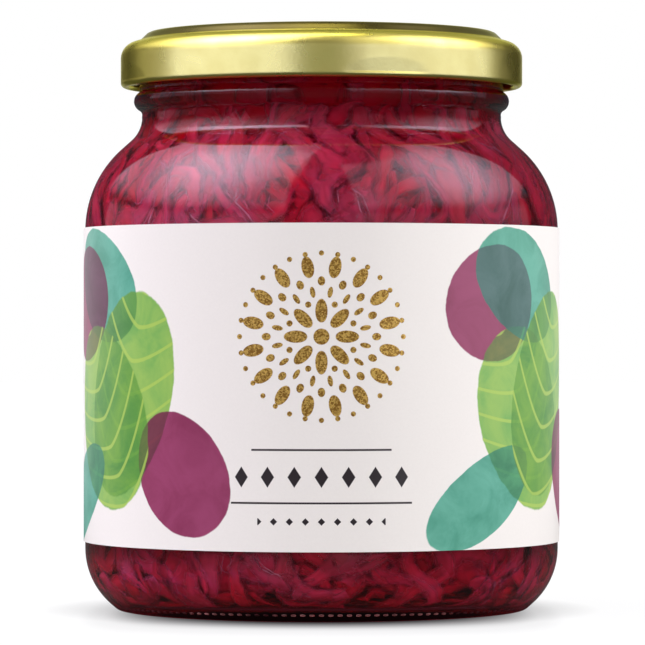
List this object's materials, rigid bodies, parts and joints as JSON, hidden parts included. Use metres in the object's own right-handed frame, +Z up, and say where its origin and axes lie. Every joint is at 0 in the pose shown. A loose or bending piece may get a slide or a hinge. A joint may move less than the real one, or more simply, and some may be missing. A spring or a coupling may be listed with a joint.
{
  "type": "jar of sauerkraut",
  "caption": "Shut glass jar of beetroot-dyed sauerkraut with a gold twist-off lid, rounded shoulders and a wrap-round paper label.",
  "frame": {"origin": "middle of the ring on the underside that the glass stands on", "axes": "+Z up along the jar's axis, -Y towards the front of the label, +X to the right of the front"},
  "size_m": [0.0816, 0.0816, 0.0982],
  "materials": {
    "glass": "clear, polished",
    "lid": "satin gold lacquer over tinplate",
    "label": "off-white coated paper with a printed pattern",
    "cabbage": "wet shreds dyed ruby by beetroot juice"
  },
  "bodies": {
    "root": {"glass_jar": "glass", "twist_lid": "lid", "wrap_label": "label", "sauerkraut": "cabbage"}
  },
  "joints": []
}
